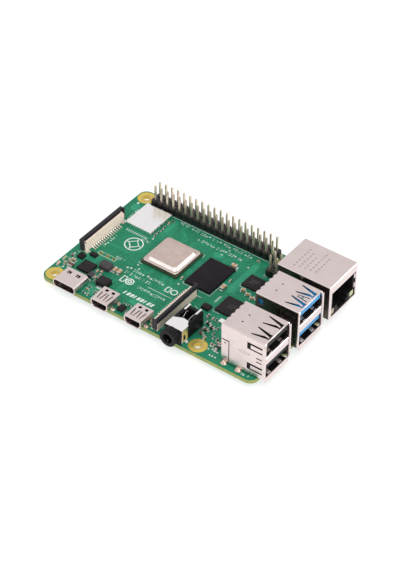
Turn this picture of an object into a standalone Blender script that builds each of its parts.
"""Single board computer: a bare circuit board with its soldered sockets, shields and chips.

All lengths are in millimetres in the board's own frame and become metres in the meshes.
The frame's origin is the board's front left corner on its top face: X runs along the long
edge to the network socket, Y runs across to the pin header, and Z points up.
"""
import math

import bmesh
import bpy
from mathutils import Matrix, Vector

MM = 0.001
GAP = 0.1                     # clearance between a piece and what it is seated on

# Circuit board
BOARD_LENGTH = 85.0
BOARD_WIDTH = 56.0
BOARD_THICKNESS = 1.4
BOARD_CORNER = 3.0
MOUNT_HOLE = 2.7
MOUNT_INSET = 3.5
MOUNT_SPACING_X = 58.0
MOUNT_SPACING_Y = 49.0

# Pin headers
PITCH = 2.54
PIN_WIDTH = 0.64
PIN_TOP = 8.6
PIN_BOTTOM = -3.0
TAIL_HOLE = 1.0
GPIO_COLUMNS = 20
GPIO_CENTRE = (32.5, 52.5)
POE_CENTRE = (61.5, 46.0)

# Stacked ports
STACK_REAR = 71.3
STACK_FRONT = 87.9
STACK_HALF = 6.57
STACK_BASE = 0.6
STACK_TOP = 15.6
STACK_WALL = 0.3
STACK_CENTRES = {"usb2": 9.0, "usb3": 27.0}
PORT_HALF = 6.15
LOWER_PORT = (1.5, 6.5)
UPPER_PORT = (9.7, 14.4)
DIVIDER_REAR = 75.0
MODULE_FACE = 76.6
COVER_EAR = 74.0
EAR_TOP = 9.3
LEG_BOTTOM = -2.4
STACK_LEG = (77.3, 78.7)
COVER_LEG = (72.0, 73.2)

# Network socket
JACK_CENTRE = 45.75
JACK_HALF = 8.0
JACK_REAR = 67.4
JACK_FRONT = 87.9
JACK_TOP = 13.5
JACK_WALL = 0.25
PLUG_HALF = 5.85
PLUG_LOW = 3.3
PLUG_HIGH = 10.3
PLUG_REAR = 76.0
LAMP_OFFSET = 5.6
LAMP_REAR = 83.5
JACK_LEG = (73.4, 74.8)
PEG_X = 78.6
PEG_OFFSET = 5.7
PEG_RADIUS = 1.5

# Front edge ports
USB_C_CENTRE = 11.2
USB_C_SIZE = (8.94, 3.2)
USB_C_FRONT = -1.3
VIDEO_CENTRES = (26.0, 39.5)
VIDEO_FRONT = -1.6
AUDIO_CENTRE = 54.0
AUDIO_BORE_HEIGHT = 3.2

# Ribbon sockets
RIBBON_LENGTH = 22.0
RIBBON_LATCH_TOP = 5.2
RIBBON_TAILS = 15
DISPLAY_SOCKET = (4.1, 27.9)
CAMERA_SOCKET = (46.45, 11.5)

# The lowest solder tails and the middle of the outline give the model's origin.
FRAME_SHIFT = (-JACK_FRONT / 2, -(BOARD_WIDTH - 2.5) / 2, -PIN_BOTTOM)


def clear_scene():
    """Remove every object, then the collections left empty."""
    for item in list(bpy.data.objects):
        bpy.data.objects.remove(item, do_unlink=True)
    for group in list(bpy.data.collections):
        bpy.data.collections.remove(group)


def new_collection(name):
    """A collection under the scene's own."""
    group = bpy.data.collections.new(name)
    bpy.context.scene.collection.children.link(group)
    return group


def new_material(name, colour, roughness, metallic=0.0):
    """A Principled material of one colour."""
    made = bpy.data.materials.new(name)
    made.use_nodes = True
    shader = made.node_tree.nodes["Principled BSDF"]
    shader.inputs["Base Color"].default_value = (*colour, 1.0)
    shader.inputs["Roughness"].default_value = roughness
    shader.inputs["Metallic"].default_value = metallic
    return made


def rounded_outline(low, high, radius, steps=6):
    """Points of a rectangle with round corners, counterclockwise."""
    corners = (
        (high[0] - radius, low[1] + radius, -90),
        (high[0] - radius, high[1] - radius, 0),
        (low[0] + radius, high[1] - radius, 90),
        (low[0] + radius, low[1] + radius, 180),
    )
    points = []
    for centre_a, centre_b, start in corners:
        for step in range(steps + 1):
            angle = math.radians(start + 90 * step / steps)
            points.append((centre_a + radius * math.cos(angle), centre_b + radius * math.sin(angle)))
    return points


def header_outline(columns, rows, chamfer=0.45):
    """Outline of a header's plastic strip: one cell for each pin, notched where cells meet."""
    width = columns * PITCH / 2
    depth = rows * PITCH / 2
    sides = ((columns, -width, -depth, 0), (rows, width, -depth, 90),
             (columns, width, depth, 180), (rows, -width, depth, 270))
    points = []
    for cells, start_x, start_y, heading in sides:
        along = Vector((math.cos(math.radians(heading)), math.sin(math.radians(heading))))
        inward = Vector((-along.y, along.x))
        start = Vector((start_x, start_y))
        for cell in range(cells):
            points.append(tuple(start + along * (cell * PITCH + chamfer)))
            points.append(tuple(start + along * ((cell + 1) * PITCH - chamfer)))
            if cell < cells - 1:
                points.append(tuple(start + along * ((cell + 1) * PITCH) + inward * chamfer))
    return points


def header_centres(centre, columns, rows):
    """Centres of a header's pins."""
    for column in range(columns):
        for row in range(rows):
            yield (centre[0] + (column - (columns - 1) / 2) * PITCH,
                   centre[1] + (row - (rows - 1) / 2) * PITCH)


class Solid:
    """Closed shapes collected in one mesh, given in the board's frame."""

    def __init__(self):
        self.bm = bmesh.new()

    def box(self, low, high, taper=0.0):
        """A box between two corners; taper draws its top in on each side."""
        low = Vector(low)
        high = Vector(high)
        place = Matrix.Translation((low + high) / 2 * MM) @ Matrix.Diagonal((*((high - low) * MM), 1))
        made = bmesh.ops.create_cube(self.bm, size=1.0, matrix=place)
        middle = (low + high) / 2 * MM
        for vertex in made["verts"]:
            if vertex.co.z > middle.z:
                vertex.co.x -= math.copysign(taper * MM, vertex.co.x - middle.x)
                vertex.co.y -= math.copysign(taper * MM, vertex.co.y - middle.y)
        return self

    def cylinder(self, centre, radius, length, axis="Z", segments=24):
        """A cylinder about its centre, along one axis."""
        turn = {"X": Matrix.Rotation(math.pi / 2, 4, "Y"),
                "Y": Matrix.Rotation(math.pi / 2, 4, "X"),
                "Z": Matrix.Identity(4)}[axis]
        bmesh.ops.create_cone(self.bm, cap_ends=True, segments=segments, radius1=radius * MM,
                              radius2=radius * MM, depth=length * MM,
                              matrix=Matrix.Translation(Vector(centre) * MM) @ turn)
        return self

    def prism(self, outline, start, end, axis="Z"):
        """A flat outline made thick from start to end along one axis.

        The outline lies in (y, z) for X, in (x, z) for Y and in (x, y) for Z.
        """
        curve = bpy.data.curves.new("outline", "CURVE")
        curve.dimensions = "2D"
        curve.fill_mode = "BOTH"
        half = (end - start) / 2
        curve.extrude = half
        spline = curve.splines.new("POLY")
        spline.points.add(len(outline) - 1)
        spline.use_cyclic_u = True
        for point, (across, up) in zip(spline.points, outline):
            point.co = (across, up, 0, 1)
        holder = bpy.data.objects.new("outline", curve)
        mesh = bpy.data.meshes.new_from_object(holder)
        bpy.data.objects.remove(holder)
        bpy.data.curves.remove(curve)

        flat = bmesh.new()
        flat.from_mesh(mesh)
        bpy.data.meshes.remove(mesh)
        bmesh.ops.remove_doubles(flat, verts=flat.verts, dist=0.0001)
        for level in (-half, half):
            cap = [face for face in flat.faces
                   if all(abs(corner.co.z - level) < 0.0001 for corner in face.verts)]
            bmesh.ops.dissolve_faces(flat, faces=cap)
        bmesh.ops.recalc_face_normals(flat, faces=flat.faces)
        turn = {"X": Matrix(((0, 0, 1), (1, 0, 0), (0, 1, 0))),
                "Y": Matrix(((1, 0, 0), (0, 0, -1), (0, 1, 0))),
                "Z": Matrix.Identity(3)}[axis].to_4x4()
        middle = Vector([(start + end) / 2 if name == axis else 0 for name in "XYZ"])
        to_place = Matrix.Scale(MM, 4) @ Matrix.Translation(middle) @ turn
        bmesh.ops.transform(flat, verts=flat.verts, matrix=to_place)
        joined = bpy.data.meshes.new("outline")
        flat.to_mesh(joined)
        flat.free()
        self.bm.from_mesh(joined)
        bpy.data.meshes.remove(joined)
        return self

    def turned(self, profile, centre, segments, phase=0.0):
        """A profile of (radius, height) points, top to bottom, turned about a vertical axis."""
        axis = Vector((centre[0], centre[1], 0)) * MM
        direction = Vector((math.cos(phase), math.sin(phase), 0))
        ring = [self.bm.verts.new(axis + (direction * radius + Vector((0, 0, height))) * MM)
                for radius, height in profile]
        edges = [self.bm.edges.new(pair) for pair in zip(ring, ring[1:])]
        bmesh.ops.spin(self.bm, geom=ring + edges, cent=axis, axis=(0, 0, 1),
                       angle=2 * math.pi, steps=segments, use_duplicate=False)
        bmesh.ops.remove_doubles(self.bm, verts=self.bm.verts, dist=0.001 * MM)
        bmesh.ops.recalc_face_normals(self.bm, faces=self.bm.faces)
        return self

    def without_faces(self, *directions):
        """Drop the faces that point in the given directions, which leaves an open surface."""
        self.bm.normal_update()
        dropped = [face for face in self.bm.faces
                   if any(face.normal.dot(Vector(direction)) > 0.9 for direction in directions)]
        bmesh.ops.delete(self.bm, geom=dropped, context="FACES")
        return self

    def to_object(self, name, group, anchor=None):
        """An object whose origin is the middle of the shape's underside, or the given anchor."""
        points = [vertex.co for vertex in self.bm.verts]
        low = Vector([min(point[axis] for point in points) for axis in range(3)])
        high = Vector([max(point[axis] for point in points) for axis in range(3)])
        origin = Vector(((low.x + high.x) / 2, (low.y + high.y) / 2, low.z))
        if anchor is not None:
            origin = Vector(anchor) * MM
        bmesh.ops.translate(self.bm, verts=self.bm.verts, vec=-origin)
        mesh = bpy.data.meshes.new(name)
        self.bm.to_mesh(mesh)
        self.bm.free()
        made = bpy.data.objects.new(name, mesh)
        made.location = origin
        made.parent = board_corner
        group.objects.link(made)
        return made


def add_part(name, solid, material, bevel=0.0, wall=0.0, bevel_segments=1, anchor=None):
    """One named piece: an optional edge bevel, and an optional wall on an open surface."""
    made = solid.to_object(name, parts, anchor)
    made.data.materials.append(material)
    if bevel:
        rounding = made.modifiers.new("edge", "BEVEL")
        rounding.width = bevel * MM
        rounding.segments = bevel_segments
        rounding.limit_method = "ANGLE"
        rounding.angle_limit = math.radians(40)
    if wall:
        sheet = made.modifiers.new("wall", "SOLIDIFY")
        sheet.thickness = wall * MM
        sheet.offset = -1.0
        sheet.use_even_offset = True
    return made


def combine(piece, solid, operation):
    """Join a solid to a piece (UNION), or cut it out (DIFFERENCE)."""
    tool = solid.to_object(f"{piece.name}_{operation.lower()}", tools)
    tool.hide_render = True
    tool.display_type = "WIRE"
    step = piece.modifiers.new(operation.lower(), "BOOLEAN")
    step.operation = operation
    step.solver = "EXACT"
    step.object = tool


def cut(piece, solid):
    """Cut a solid out of a piece."""
    combine(piece, solid, "DIFFERENCE")


def join(piece, solid):
    """Join a solid to a piece, into one body."""
    combine(piece, solid, "UNION")


def make_board():
    """The circuit board, with its mounting holes and the holes that solder tails pass through."""
    outline = rounded_outline((0, 0), (BOARD_LENGTH, BOARD_WIDTH), BOARD_CORNER)
    board = add_part("circuit_board", Solid().prism(outline, -BOARD_THICKNESS, 0), solder_mask)
    middle = -BOARD_THICKNESS / 2
    through = BOARD_THICKNESS + 1.0
    round_holes = Solid()
    for column in (0, 1):
        for row in (0, 1):
            centre = (MOUNT_INSET + column * MOUNT_SPACING_X, MOUNT_INSET + row * MOUNT_SPACING_Y, middle)
            round_holes.cylinder(centre, MOUNT_HOLE / 2, through, segments=32)
    for side in (-1, 1):
        spot = (PEG_X, JACK_CENTRE + side * PEG_OFFSET, middle)
        round_holes.cylinder(spot, PEG_RADIUS + 0.15, through, segments=16)
    cut(board, round_holes)

    slots = Solid()
    half = TAIL_HOLE / 2
    below = middle - through / 2
    above = middle + through / 2
    tails = list(header_centres(GPIO_CENTRE, GPIO_COLUMNS, 2)) + list(header_centres(POE_CENTRE, 2, 2))
    for x, y in tails:
        slots.box((x - half, y - half, below), (x + half, y + half, above))
    for low, high in shield_legs():
        slots.box((low[0] - 0.3, low[1] - 0.3, below), (high[0] + 0.3, high[1] + 0.3, above))
    cut(board, slots)


def leg_pair(span, centre, half, wall, top):
    """Two legs, one in each side wall of a shield."""
    for side in (-1, 1):
        faces = sorted((centre + side * half, centre + side * (half - wall)))
        yield (span[0], faces[0], LEG_BOTTOM), (span[1], faces[1], top)


def shield_legs():
    """Every shield leg that passes through the board."""
    for centre in STACK_CENTRES.values():
        yield from leg_pair(STACK_LEG, centre, STACK_HALF, STACK_WALL, STACK_BASE + 0.5)
        yield from leg_pair(COVER_LEG, centre, STACK_HALF, STACK_WALL, STACK_BASE + 0.5)
    yield from leg_pair(JACK_LEG, JACK_CENTRE, JACK_HALF, JACK_WALL, 1.0)


def add_header(name, centre, columns, rows):
    """A pin header: the plastic strip joined to its square pins."""
    outline = [(centre[0] + x, centre[1] + y) for x, y in header_outline(columns, rows)]
    strip = add_part(name, Solid().prism(outline, GAP, PITCH), header_plastic)
    point = 0.4
    half = PIN_WIDTH / 2 * math.sqrt(2)
    profile = ((0, PIN_TOP), (half * 0.5, PIN_TOP), (half, PIN_TOP - point),
               (half, PIN_BOTTOM + point), (half * 0.5, PIN_BOTTOM), (0, PIN_BOTTOM))
    pins = Solid()
    for pin_centre in header_centres(centre, columns, rows):
        pins.turned(profile, pin_centre, 4, math.pi / 4)
    join(strip, pins)


def finger_slots(centre, top):
    """The two V-shaped cuts that free the spring fingers in a stack's top."""
    fingers = Solid()
    for offset in (-3.0, 3.0):
        middle = centre + offset
        outline = [(79.6, middle - 1.75), (83.2, middle - 1.1), (85.7, middle - 1.5), (85.7, middle + 1.5),
                   (83.2, middle + 1.1), (79.6, middle + 1.75), (79.6, middle + 1.35), (83.6, middle + 0.5),
                   (83.6, middle - 0.5), (79.6, middle - 1.35)]
        fingers.prism(outline, top - 1.0, top + 1.0)
    return fingers


def side_windows(centre, low):
    """C-shaped cut that frees one side spring finger, through both side walls."""
    outline = [(81.2, low), (86.6, low), (86.6, low + 0.35), (81.9, low + 0.35), (81.9, low + 1.9),
               (86.6, low + 1.9), (86.6, low + 2.5), (81.2, low + 2.5)]
    return Solid().prism(outline, centre - STACK_HALF - 1.0, centre + STACK_HALF + 1.0, "Y")


def make_stack(label, centre, insert):
    """Two ports one above the other: shield, rear cover, divider and two contact modules."""
    near = centre - STACK_HALF
    far = centre + STACK_HALF
    shell = Solid().box((STACK_REAR, near, STACK_BASE), (STACK_FRONT - 0.05, far, STACK_TOP))
    shell.without_faces((0, 0, -1), (-1, 0, 0))
    shield = add_part(f"{label}_shield", shell, shield_metal, bevel=0.35, wall=STACK_WALL)
    additions = Solid()
    for low, high in leg_pair(STACK_LEG, centre, STACK_HALF, STACK_WALL, STACK_BASE + 0.5):
        additions.box(low, high)
    lip = STACK_FRONT - 0.3
    additions.box((lip, near - 0.6, LOWER_PORT[0]), (STACK_FRONT, near + 0.2, UPPER_PORT[1]))
    additions.box((lip, far - 0.2, LOWER_PORT[0]), (STACK_FRONT, far + 0.6, UPPER_PORT[1]))
    additions.box((lip, centre - PORT_HALF, -0.5), (STACK_FRONT, centre + PORT_HALF, STACK_BASE + 0.4))
    join(shield, additions)
    cut(shield, Solid().box((STACK_FRONT - 1.0, centre - PORT_HALF, LOWER_PORT[0]),
                            (STACK_FRONT + 1.0, centre + PORT_HALF, UPPER_PORT[1])))
    notch = Solid()
    notch.box((STACK_REAR - 1, near - 1, STACK_BASE - 1), (COVER_EAR + 0.15, near + 0.5, EAR_TOP + 0.15))
    notch.box((STACK_REAR - 1, far - 0.5, STACK_BASE - 1), (COVER_EAR + 0.15, far + 1, EAR_TOP + 0.15))
    cut(shield, notch)
    cut(shield, finger_slots(centre, STACK_TOP))
    cut(shield, side_windows(centre, UPPER_PORT[0] + 1.0))
    cut(shield, side_windows(centre, LOWER_PORT[0] + 0.8))

    cover_face = STACK_REAR + STACK_WALL
    lower_plate = Solid().box((STACK_REAR, near, STACK_BASE + GAP), (cover_face, far, EAR_TOP))
    cover = add_part(f"{label}_rear_cover", lower_plate, shield_metal)
    inner = STACK_HALF - STACK_WALL - GAP
    join(cover, Solid().box((STACK_REAR, centre - inner, EAR_TOP - 1),
                            (cover_face, centre + inner, STACK_TOP - STACK_WALL - GAP)))
    ears = Solid()
    for low, high in leg_pair((STACK_REAR, COVER_EAR), centre, STACK_HALF, STACK_WALL, EAR_TOP):
        ears.box((low[0], low[1], STACK_BASE + GAP), high)
    join(cover, ears)
    legs = Solid()
    for low, high in leg_pair(COVER_LEG, centre, STACK_HALF, STACK_WALL, STACK_BASE + 0.5):
        legs.box(low, high)
    join(cover, legs)

    bar_low = LOWER_PORT[1] + GAP
    bar_high = UPPER_PORT[0] - GAP
    channel = Solid().box((DIVIDER_REAR, centre - PORT_HALF + GAP, bar_low),
                          (STACK_FRONT - 0.1, centre + PORT_HALF - GAP, bar_high))
    channel.without_faces((-1, 0, 0), (0, 1, 0), (0, -1, 0))
    add_part(f"{label}_divider", channel, shield_metal, bevel=0.25, wall=STACK_WALL)

    levels = {"upper": (UPPER_PORT[0], STACK_TOP - STACK_WALL - GAP, 13.0, 14.7),
              "lower": (STACK_BASE + GAP, LOWER_PORT[1], 4.6, 6.3)}
    for level, (bottom, top, tongue_low, tongue_high) in levels.items():
        block = Solid().box((STACK_REAR + 0.7, centre - 5.9, bottom), (MODULE_FACE, centre + 5.9, top))
        module = add_part(f"{label}_{level}_module", block, insert, bevel=0.15)
        join(module, Solid().box((MODULE_FACE - 0.5, centre - 5.75, tongue_low),
                                 (STACK_FRONT - 0.6, centre + 5.75, tongue_high)))


def make_network_socket():
    """Network socket: shield, plug housing, contacts, magnetics block and two lamps."""
    near = JACK_CENTRE - JACK_HALF
    far = JACK_CENTRE + JACK_HALF
    shell = Solid().box((JACK_REAR, near, 0.15), (JACK_FRONT, far, JACK_TOP)).without_faces((0, 0, -1))
    shield = add_part("ethernet_shield", shell, shield_metal, bevel=0.3, wall=JACK_WALL)
    legs = Solid()
    for low, high in leg_pair(JACK_LEG, JACK_CENTRE, JACK_HALF, JACK_WALL, 1.0):
        legs.box(low, high)
    join(shield, legs)
    cut(shield, Solid().box((JACK_FRONT - 1, near + 1.15, 0.6), (JACK_FRONT + 1, far - 1.05, 10.4)))

    inner = JACK_HALF - JACK_WALL - GAP
    block = Solid().box((PLUG_REAR - 0.7, JACK_CENTRE - inner, 0.25),
                        (JACK_FRONT - JACK_WALL - GAP, JACK_CENTRE + inner, JACK_TOP - JACK_WALL - GAP))
    housing = add_part("ethernet_housing", block, insert_black)
    pegs = Solid()
    for side in (-1, 1):
        pegs.cylinder((PEG_X, JACK_CENTRE + side * PEG_OFFSET, -1.0), PEG_RADIUS, 3.0, segments=16)
    join(housing, pegs)
    steps = ((PLUG_HALF, PLUG_HIGH), (PLUG_HALF, PLUG_LOW), (3.1, PLUG_LOW),
             (3.1, 1.9), (2.2, 1.9), (2.2, 0.8))
    outline = [(JACK_CENTRE + half, height) for half, height in steps]
    outline += [(JACK_CENTRE - half, height) for half, height in reversed(steps)]
    cut(housing, Solid().prism(outline, PLUG_REAR, JACK_FRONT + 1, "X"))
    pockets = Solid()
    for side in (-1, 1):
        middle = JACK_CENTRE + side * LAMP_OFFSET
        pockets.box((LAMP_REAR - GAP, middle - 1.2, 0.7), (JACK_FRONT + 1, middle + 1.2, 3.0))
    cut(housing, pockets)

    for side, name, glow in ((-1, "ethernet_lamp_amber", lamp_amber), (1, "ethernet_lamp_green", lamp_green)):
        middle = JACK_CENTRE + side * LAMP_OFFSET
        lamp = Solid().box((LAMP_REAR, middle - 1.1, 0.8), (JACK_FRONT - 0.4, middle + 1.1, 2.9))
        add_part(name, lamp, glow, bevel=0.15)

    carrier = add_part("ethernet_contact_block", Solid().box((PLUG_REAR + GAP, JACK_CENTRE - 5.6, 7.9),
                       (PLUG_REAR + 1.1, JACK_CENTRE + 5.6, PLUG_HIGH - GAP)), contact_gold)
    wires = Solid()
    for index in range(8):
        middle = JACK_CENTRE + (index - 3.5) * 1.02
        wires.prism([(PLUG_REAR + 0.8, 8.1), (85.6, 9.85), (85.6, 10.1), (PLUG_REAR + 0.8, 8.4)],
                    middle - 0.18, middle + 0.18, "Y")
    join(carrier, wires)

    add_part("ethernet_magnetics", Solid().box((JACK_REAR + JACK_WALL + GAP, JACK_CENTRE - inner, 0.25),
             (PLUG_REAR - 0.8, JACK_CENTRE + inner, JACK_TOP - JACK_WALL - GAP)), insert_black, bevel=0.4)


def make_usb_c_port():
    """Power port: a drawn metal tube with a round-ended mouth, and its contact tongue."""
    width, height = USB_C_SIZE
    rear = 5.95
    low = (USB_C_CENTRE - width / 2, 0.05)
    high = (USB_C_CENTRE + width / 2, 0.05 + height)
    middle = (low[1] + high[1]) / 2
    tube = Solid().prism(rounded_outline(low, high, 1.3, 5), USB_C_FRONT, rear, "Y")
    shell = add_part("usb_c_shell", tube, shield_metal)
    wall = 0.3
    inside = rounded_outline((low[0] + wall, low[1] + wall), (high[0] - wall, high[1] - wall), 1.0, 5)
    cut(shell, Solid().prism(inside, USB_C_FRONT - 1, rear + 1, "Y"))
    clips = Solid()
    for start in (USB_C_CENTRE - 2.6, USB_C_CENTRE + 1.0):
        clips.box((start, 3.4, high[1] - 0.6), (start + 1.6, 3.9, high[1] + 0.6))
    cut(shell, clips)
    plug = rounded_outline((low[0] + wall + GAP, low[1] + wall + GAP),
                           (high[0] - wall - GAP, high[1] - wall - GAP), 0.9, 4)
    tongue = add_part("usb_c_tongue", Solid().prism(plug, 4.2, rear - GAP, "Y"), insert_black)
    join(tongue, Solid().box((USB_C_CENTRE - 3.35, USB_C_FRONT + 0.9, middle - 0.35),
                             (USB_C_CENTRE + 3.35, 4.5, middle + 0.35)))


def video_outline(centre, inset):
    """Mouth of a small video port: flat on top, narrower at the bottom."""
    half = 3.2 - inset
    return [(centre - half, 3.2 - inset), (centre - half, 1.35), (centre - half + 0.75, 0.1 + inset),
            (centre + half - 0.75, 0.1 + inset), (centre + half, 1.35), (centre + half, 3.2 - inset)]


def make_video_port(label, centre):
    """Small video port: a folded metal shell and its contact tongue."""
    rear = 5.5
    shell = add_part(f"{label}_shell",
                     Solid().prism(video_outline(centre, 0.0), VIDEO_FRONT, rear, "Y"), shield_metal)
    cut(shell, Solid().prism(video_outline(centre, 0.28), VIDEO_FRONT - 1, rear + 1, "Y"))
    slots = Solid()
    for side in (-1, 1):
        middle = centre + side * 1.35
        for edge in (-1, 1):
            slots.prism([(middle + edge * 0.75, 2.9), (middle + edge * 0.95, 2.9),
                         (middle + edge * 0.6, -0.2), (middle + edge * 0.4, -0.2)], 2.5, 4.0)
        slots.box((middle - 0.5, 3.7, 2.5), (middle + 0.5, 4.4, 4.0))
    cut(shell, slots)
    tongue = add_part(f"{label}_tongue",
                      Solid().prism(video_outline(centre, 0.38), 4.6, rear - GAP, "Y"), insert_black)
    join(tongue, Solid().box((centre - 2.1, VIDEO_FRONT + 1.0, 1.55), (centre + 2.1, 4.9, 2.15)))


def make_audio_jack():
    """Audio jack: moulded body with its bore, a ground plate over the front, and two contacts."""
    near = AUDIO_CENTRE - 3.25
    far = AUDIO_CENTRE + 3.25
    body = add_part("audio_jack_body", Solid().box((near, 0.3, GAP), (far, 12.3, 5.6)), insert_black,
                    bevel=0.15)
    join(body, Solid().cylinder((AUDIO_CENTRE, -1.0, AUDIO_BORE_HEIGHT), 3.0, 3.0, "Y", 32))
    cut(body, Solid().cylinder((AUDIO_CENTRE, 4.0, AUDIO_BORE_HEIGHT), 1.8, 14.0, "Y", 24))
    cut(body, Solid().box((near + 1.3, 6.2, 3.9), (far - 1.3, 11.0, 7.0)))

    plate_outline = [(near + 0.2, 0.6), (far + 0.3, 0.6), (far + 0.3, 3.9), (far - 0.5, 4.6),
                     (far - 0.9, 5.7), (near + 3.4, 6.0), (near + 2.0, 5.4), (near + 1.2, 5.0),
                     (near + 0.2, 4.6)]
    plate = add_part("audio_jack_ground_plate", Solid().prism(plate_outline, 5.7, 5.95), shield_metal)
    join(plate, Solid().box((far + GAP, 0.6, 0.3), (far + 0.3, 3.6, 5.95)))
    cut(plate, Solid().box((far - 0.4, 1.3, 1.4), (far + 1.0, 2.4, 3.6)))

    for label, x in (("left", near + 1.1), ("right", far - 1.1)):
        strip = add_part(f"audio_jack_contact_{label}",
                         Solid().box((x - 0.35, 9.6, 5.7), (x + 0.35, 12.65, 5.95)), contact_tin)
        join(strip, Solid().box((x - 0.35, 12.4, 0.15), (x + 0.35, 12.65, 5.9)))


def make_ribbon_socket(label, centre, facing):
    """Ribbon socket: a trough of pale plastic with solder tails, and the latch that lifts.

    facing is 1 where the open wall looks along +X and -1 where it looks along -X.
    """
    middle_x, middle_y = centre
    base_half = RIBBON_LENGTH / 2 - 0.65

    def span(start, end):
        """X range of a slice given from the latch's outer face, in order."""
        ends = (middle_x + facing * (start - 1.2), middle_x + facing * (end - 1.2))
        return min(ends), max(ends)

    def block(solid, across, along, up):
        """Box from its ranges across the socket, along it from the middle, and up."""
        x = span(*across)
        solid.box((x[0], middle_y + along[0], up[0]), (x[1], middle_y + along[1], up[1]))

    solid = Solid()
    block(solid, (0.15, 2.1), (-base_half, base_half), (GAP, 4.2))
    base = add_part(f"{label}_socket_base", solid, ribbon_cream)
    trough = Solid()
    block(trough, (0.55, 1.5), (-base_half + 0.8, base_half - 0.8), (0.8, 5.0))
    cut(base, trough)
    rebate = Solid()
    block(rebate, (0.0, 1.05), (-base_half - 1, base_half + 1), (3.3, 5.0))
    cut(base, rebate)
    corners = Solid()
    for side in (-1, 1):
        ends = sorted((side * (base_half - 0.7), side * (base_half + 1.0)))
        block(corners, (0.9, 3.0), ends, (3.3, 5.0))
    cut(base, corners)
    tails = Solid()
    for index in range(RIBBON_TAILS):
        along = (index - (RIBBON_TAILS - 1) / 2) * 1.0
        block(tails, (1.9, 3.4), (along - 0.15, along + 0.15), (GAP, 0.4))
    join(base, tails)

    solid = Solid()
    block(solid, (0.0, 0.95), (-RIBBON_LENGTH / 2, RIBBON_LENGTH / 2), (3.4, RIBBON_LATCH_TOP))
    hinge_line = (span(0.7, 0.7)[0], middle_y, RIBBON_LATCH_TOP)
    latch = add_part(f"{label}_socket_latch", solid, ribbon_latch, bevel=0.1, anchor=hinge_line)
    wedge = Solid()
    block(wedge, (0.65, 0.9), (-base_half + 1.0, base_half - 1.0), (1.3, 3.8))
    join(latch, wedge)
    ears = Solid()
    for side in (-1, 1):
        ends = sorted((side * (base_half + 0.12), side * RIBBON_LENGTH / 2))
        block(ears, (0.3, 1.9), ends, (1.0, RIBBON_LATCH_TOP - 0.2))
    join(latch, ears)


def make_processor():
    """Processor: substrate, bare die and the stamped lid that covers it."""
    substrate = Solid().box((22.4, 24.6, 0.15), (37.0, 39.6, 0.95))
    add_part("processor_substrate", substrate, substrate_green)
    add_part("processor_die", Solid().box((26.4, 28.1, 1.05), (33.4, 35.8, 1.75)), die_silicon)
    lid = add_part("processor_lid", Solid().box((22.8, 25.0, 1.05), (36.6, 39.2, 1.5)), lid_metal, bevel=0.12)
    join(lid, Solid().box((23.9, 25.8, 1.3), (35.9, 38.1, 2.4), taper=0.55))
    cut(lid, Solid().box((24.4, 26.3, 0.5), (35.4, 37.6, 1.95), taper=0.4))


def make_wireless_module():
    """Wireless module: a chip under its pressed can."""
    can = Solid().box((6.5, 37.0, GAP), (17.1, 49.2, 1.6)).without_faces((0, 0, -1))
    add_part("wireless_shield", can, can_metal, bevel=0.25, wall=0.2, bevel_segments=2)
    add_part("wireless_chip", Solid().box((8.4, 39.2, GAP), (14.8, 46.4, 1.1)), chip_black)


def make_card_slot():
    """Card slot on the underside: a plastic frame with a pocket, and its pressed cover."""
    under = -BOARD_THICKNESS
    base = add_part("card_slot_frame",
                    Solid().box((2.3, 22.0, under - 1.1), (13.9, 34.0, under - GAP)), insert_black)
    cut(base, Solid().box((1.0, 22.7, under - 2.0), (12.6, 33.3, under - 0.45)))
    cover = Solid().box((2.0, 21.7, under - 1.4), (14.2, 34.3, under - 0.15))
    cover = cover.without_faces((0, 0, 1), (-1, 0, 0))
    add_part("card_slot_cover", cover, shield_metal, wall=0.2)


def make_chips():
    """Chips, inductors, capacitors, crystal and lamps that stand on the board's top face."""
    low = GAP
    pieces = (
        ("memory_chip", (40.0, 25.0), (50.2, 39.6), 0.9, chip_memory, 0.05),
        ("usb_controller_chip", (55.9, 19.9), (63.9, 27.9), 0.9, chip_black, 0.08),
        ("ethernet_phy_chip", (55.7, 34.8), (61.7, 40.8), 0.9, chip_black, 0.08),
        ("power_manager_chip", (7.6, 9.4), (12.6, 14.4), 0.9, chip_black, 0.08),
        ("usb_power_switch_chip", (51.7, 18.1), (54.7, 20.6), 1.0, chip_black, 0.1),
        ("video_buffer_chip", (30.6, 1.4), (32.9, 4.1), 0.9, chip_black, 0.1),
        ("input_diode", (4.1, 13.9), (6.5, 16.3), 1.0, chip_black, 0.15),
        ("input_switch_chip", (6.8, 17.2), (9.4, 19.0), 0.9, chip_black, 0.1),
        ("input_capacitor", (4.3, 8.5), (6.2, 10.6), 1.0, capacitor_brown, 0.15),
        ("boost_inductor", (12.8, 8.4), (14.7, 10.7), 1.0, inductor_black, 0.15),
        ("core_inductor", (17.8, 6.8), (21.9, 10.4), 2.0, inductor_black, 0.25),
        ("supply_inductor", (13.2, 13.9), (17.4, 17.2), 1.8, inductor_grey, 0.5),
        ("supply_capacitor_0", (17.7, 15.2), (19.0, 17.3), 0.9, capacitor_tan, 0.1),
        ("supply_capacitor_1", (19.5, 15.2), (20.8, 17.3), 0.9, capacitor_tan, 0.1),
        ("memory_capacitor_0", (47.6, 40.3), (49.7, 41.7), 1.1, capacitor_tan, 0.1),
        ("memory_capacitor_1", (51.2, 29.0), (52.6, 31.3), 1.1, capacitor_tan, 0.1),
        ("clock_crystal", (60.2, 15.9), (62.2, 17.8), 0.8, can_metal, 0.15),
        ("power_lamp", (0.9, 7.2), (1.7, 8.8), 0.6, lamp_red, 0.05),
        ("activity_lamp", (0.9, 10.5), (1.7, 12.1), 0.6, lamp_green, 0.05),
    )
    for name, near, far, top, material, bevel in pieces:
        add_part(name, Solid().box((*near, low), (*far, top)), material, bevel=bevel)


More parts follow.
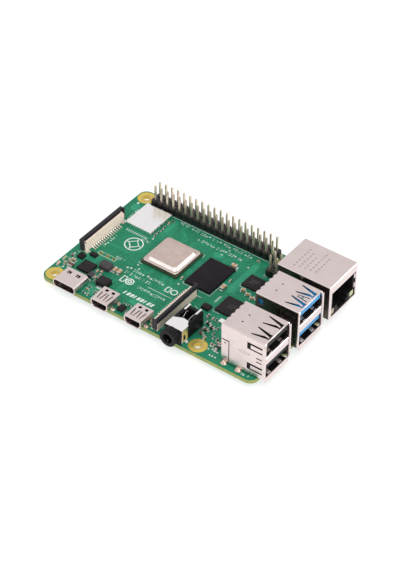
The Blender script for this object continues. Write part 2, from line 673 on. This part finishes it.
clear_scene()
parts = new_collection("single_board_computer")
tools = new_collection("tools")
board_corner = bpy.data.objects.new("board_corner", None)
board_corner.location = [length * MM for length in FRAME_SHIFT]
parts.objects.link(board_corner)

solder_mask = new_material("solder_mask", (0.006, 0.26, 0.13), 0.35)
header_plastic = new_material("header_plastic", (0.02, 0.02, 0.022), 0.5)
shield_metal = new_material("shield_metal", (0.75, 0.69, 0.68), 0.35, 1.0)
can_metal = new_material("can_metal", (0.9, 0.89, 0.89), 0.25, 1.0)
lid_metal = new_material("lid_metal", (0.72, 0.63, 0.59), 0.35, 1.0)
contact_gold = new_material("contact_gold", (0.83, 0.62, 0.25), 0.3, 1.0)
contact_tin = new_material("contact_tin", (0.85, 0.84, 0.83), 0.3, 1.0)
insert_black = new_material("insert_black", (0.02, 0.018, 0.02), 0.5)
insert_blue = new_material("insert_blue", (0.01, 0.24, 0.68), 0.4)
ribbon_cream = new_material("ribbon_cream", (0.72, 0.63, 0.53), 0.6)
ribbon_latch = new_material("ribbon_latch", (0.045, 0.042, 0.05), 0.5)
substrate_green = new_material("substrate_green", (0.05, 0.09, 0.03), 0.5)
die_silicon = new_material("die_silicon", (0.25, 0.25, 0.28), 0.15, 1.0)
chip_black = new_material("chip_black", (0.03, 0.026, 0.03), 0.5)
chip_memory = new_material("chip_memory", (0.035, 0.028, 0.037), 0.55)
inductor_black = new_material("inductor_black", (0.025, 0.022, 0.025), 0.6)
inductor_grey = new_material("inductor_grey", (0.07, 0.065, 0.075), 0.6)
capacitor_tan = new_material("capacitor_tan", (0.55, 0.36, 0.2), 0.45)
capacitor_brown = new_material("capacitor_brown", (0.12, 0.06, 0.05), 0.5)
lamp_green = new_material("lamp_green", (0.35, 0.55, 0.2), 0.2)
lamp_amber = new_material("lamp_amber", (0.75, 0.5, 0.15), 0.2)
lamp_red = new_material("lamp_red", (0.6, 0.1, 0.08), 0.2)

make_board()
add_header("gpio_header", GPIO_CENTRE, GPIO_COLUMNS, 2)
add_header("poe_header", POE_CENTRE, 2, 2)
make_stack("usb2", STACK_CENTRES["usb2"], insert_black)
make_stack("usb3", STACK_CENTRES["usb3"], insert_blue)
make_network_socket()
make_usb_c_port()
for number, port_centre in enumerate(VIDEO_CENTRES):
    make_video_port(f"video_port_{number}", port_centre)
make_audio_jack()
make_ribbon_socket("display", DISPLAY_SOCKET, 1)
make_ribbon_socket("camera", CAMERA_SOCKET, -1)
make_processor()
make_wireless_module()
make_card_slot()
make_chips()
